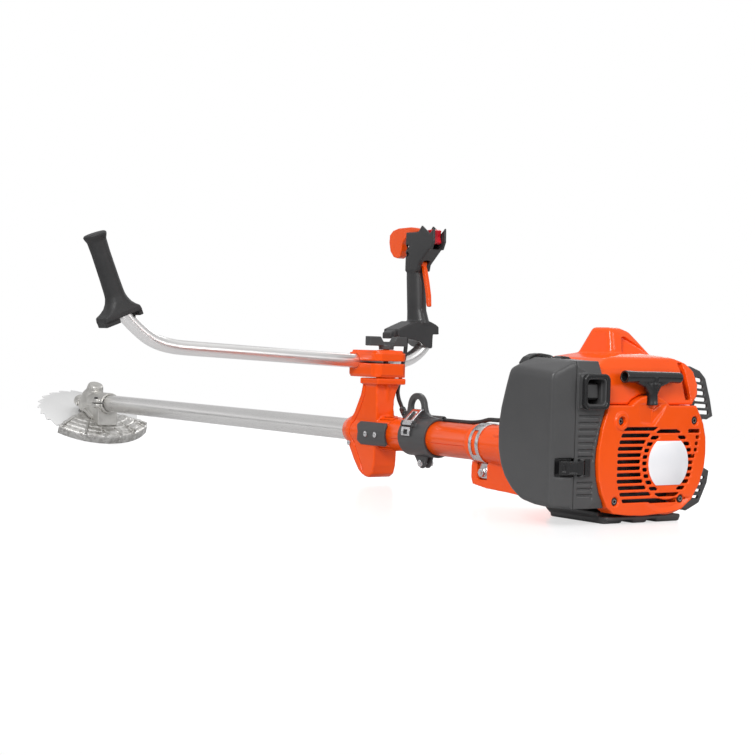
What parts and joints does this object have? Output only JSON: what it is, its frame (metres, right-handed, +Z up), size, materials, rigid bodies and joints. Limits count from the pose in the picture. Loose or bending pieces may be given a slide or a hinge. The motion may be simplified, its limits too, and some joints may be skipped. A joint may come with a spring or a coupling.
{
  "type": "brush cutter",
  "caption": "Two-handed brush cutter with a rear engine, harness eye, swivelling handlebar with throttle grip, long shaft tube, angled gear head, saw blade and blade guard.",
  "frame": {"origin": "centre of the harness eye above the shaft", "axes": "+X along the shaft towards the blade, +Y to the operator's left and along the harness eye, +Z up"},
  "size_m": [1.8337, 0.6369, 0.4205],
  "materials": {
    "orange_plastic": "glossy moulded plastic and painted castings",
    "grey_plastic": "fine matt grain",
    "black_plastic": "satin",
    "grip_rubber": "soft matt rubber",
    "cable_jacket": "satin jacket",
    "label_white": "plain gloss label",
    "white_plastic": "smooth",
    "filter_felt": "felt",
    "switch_red": "gloss",
    "tube_aluminium": "satin anodised, fine drawn grain",
    "cast_aluminium": "bead-blasted casting",
    "guard_cast": "rough casting, part polished",
    "zinc_steel": "zinc plated",
    "black_screw": "blackened steel",
    "blade_steel": "ground bright steel",
    "machined_steel": "machined",
    "muffler_steel": "heat-darkened sheet"
  },
  "bodies": {
    "chassis": {"starter_cover": "orange_plastic", "cover_label": "label_white", "cover_screws": "black_screw", "engine_cover": "orange_plastic", "crankcase": "cast_aluminium", "engine_cylinder": "cast_aluminium", "piston": "cast_aluminium", "spark_plug": "white_plastic", "muffler": "muffler_steel", "muffler_guard": "grey_plastic", "fuel_tank": "grey_plastic", "filter_base": "grey_plastic", "filter_element": "filter_felt", "carburettor": "cast_aluminium", "clutch_housing": "orange_plastic", "band_clamp": "zinc_steel", "band_clamp_bolt": "zinc_steel", "rear_tube": "orange_plastic", "shaft_tube": "tube_aluminium", "shaft_bushes": "white_plastic", "handle_post_rear": "orange_plastic", "handle_post_front": "orange_plastic", "post_pad": "grey_plastic", "post_screws": "zinc_steel", "cable_lower": "cable_jacket", "gearbox": "cast_aluminium", "gearbox_screws": "black_screw", "spindle_bearing": "machined_steel", "blade_guard": "guard_cast"},
    "fuel_cap_body": {"fuel_cap": "black_plastic"},
    "filter_cover_body": {"filter_cover": "grey_plastic"},
    "latch_body": {"cover_latch": "black_plastic"},
    "choke_body": {"choke_lever": "grey_plastic"},
    "crank": {"crankshaft": "machined_steel", "flywheel": "cast_aluminium", "clutch_shoes": "machined_steel"},
    "rod": {"connecting_rod": "machined_steel"},
    "drive": {"drive_shaft": "machined_steel", "clutch_drum": "machined_steel", "pinion_gear": "machined_steel"},
    "blade_set": {"blade": "blade_steel", "spindle": "machined_steel", "driven_gear": "machined_steel", "drive_flange": "machined_steel", "support_cup": "machined_steel"},
    "pulley": {"starter_pulley": "black_plastic"},
    "pull_handle": {"starter_handle": "grey_plastic"},
    "hanger": {"suspension_clamp": "grey_plastic", "suspension_bolt": "zinc_steel"},
    "catch": {"suspension_catch": "zinc_steel"},
    "bar_clamp": {"clamp_lower": "orange_plastic", "clamp_upper": "orange_plastic", "cable_upper": "cable_jacket"},
    "knob": {"clamp_knob": "grey_plastic"},
    "bar": {"handlebar": "tube_aluminium", "left_grip": "grip_rubber", "throttle_handle": "grey_plastic"},
    "trigger": {"throttle_trigger": "orange_plastic"},
    "lockout": {"throttle_lockout": "orange_plastic"},
    "switch": {"stop_switch": "switch_red"}
  },
  "joints": [
    {"name": "blade_spin", "type": "hinge", "parent": "chassis", "child": "blade_set", "pos_m": [1.1748, 0, -0.045], "axis": [0.4067, 0, -0.9135], "continuous": true},
    {"name": "drive_spin", "type": "hinge", "parent": "chassis", "child": "drive", "pos_m": [1.163, 0, -0.045], "axis": [1, 0, 0], "continuous": true},
    {"name": "crank_spin", "type": "hinge", "parent": "chassis", "child": "crank", "pos_m": [-0.452, 0, -0.045], "axis": [1, 0, 0], "continuous": true},
    {"name": "rod_pivot", "type": "hinge", "parent": "crank", "child": "rod", "pos_m": [-0.452, 0, -0.028], "axis": [1, 0, 0], "continuous": true},
    {"name": "starter_pull", "type": "slide", "parent": "chassis", "child": "pull_handle", "axis": [0, 0, 1], "range_m": [0, 0.12], "stiffness_N_per_m": 40},
    {"name": "pulley_spin", "type": "hinge", "parent": "chassis", "child": "pulley", "pos_m": [-0.529, 0, -0.045], "axis": [1, 0, 0], "range_deg": [0, 225]},
    {"name": "throttle_trigger_pull", "type": "hinge", "parent": "bar", "child": "trigger", "pos_m": [0.142, -0.089, 0.267], "axis": [0, 1, 0], "range_deg": [0, 14], "stiffness_Nm_per_rad": 0.25},
    {"name": "throttle_lockout_press", "type": "hinge", "parent": "bar", "child": "lockout", "pos_m": [0.117, -0.089, 0.229], "axis": [0, -1, 0], "range_deg": [0, 6], "stiffness_Nm_per_rad": 0.25},
    {"name": "stop_switch_rock", "type": "hinge", "parent": "bar", "child": "switch", "pos_m": [0.097, -0.089, 0.272], "axis": [0, 1, 0], "range_deg": [-8, 8]},
    {"name": "handlebar_swivel", "type": "hinge", "parent": "chassis", "child": "bar_clamp", "pos_m": [0.089, 0, 0.055], "axis": [0, 0, 1], "range_deg": [-90, 0]},
    {"name": "handlebar_tilt", "type": "hinge", "parent": "bar_clamp", "child": "bar", "pos_m": [0.128, 0, 0.068], "axis": [0, 1, 0], "range_deg": [-12, 12]},
    {"name": "clamp_knob_turn", "type": "hinge", "parent": "bar_clamp", "child": "knob", "pos_m": [0.089, 0, 0.095], "axis": [0, 0, 1], "range_deg": [0, 360]},
    {"name": "choke_lever_swing", "type": "hinge", "parent": "chassis", "child": "choke_body", "pos_m": [-0.511, 0.13, 0.044], "axis": [0, 1, 0], "range_deg": [0, 20]},
    {"name": "filter_cover_off", "type": "slide", "parent": "chassis", "child": "filter_cover_body", "axis": [0, 1, 0], "range_m": [0, 0.06]},
    {"name": "cover_latch_swing", "type": "hinge", "parent": "chassis", "child": "latch_body", "pos_m": [-0.5325, 0.143, -0.049], "axis": [0, 0, 1], "range_deg": [0, 80]},
    {"name": "fuel_cap_turn", "type": "hinge", "parent": "chassis", "child": "fuel_cap_body", "pos_m": [-0.401, 0.06, -0.102], "axis": [1, 0, 0], "range_deg": [0, 360]},
    {"name": "hanger_slide", "type": "slide", "parent": "chassis", "child": "hanger", "axis": [1, 0, 0], "range_m": [-0.055, 0]},
    {"name": "hanger_catch_swing", "type": "hinge", "parent": "hanger", "child": "catch", "pos_m": [-0.014, 0.029, -0.025], "axis": [1, 0, 0], "range_deg": [-75, 0]}
  ],
  "couplings": [
    {"joint": "drive_spin", "follows": "blade_spin", "ratio": 1.4615},
    {"joint": "rod_pivot", "follows": "crank_spin", "ratio": -1},
    {"joint": "pulley_spin", "follows": "starter_pull", "rad_per_m": 32.258}
  ]
}
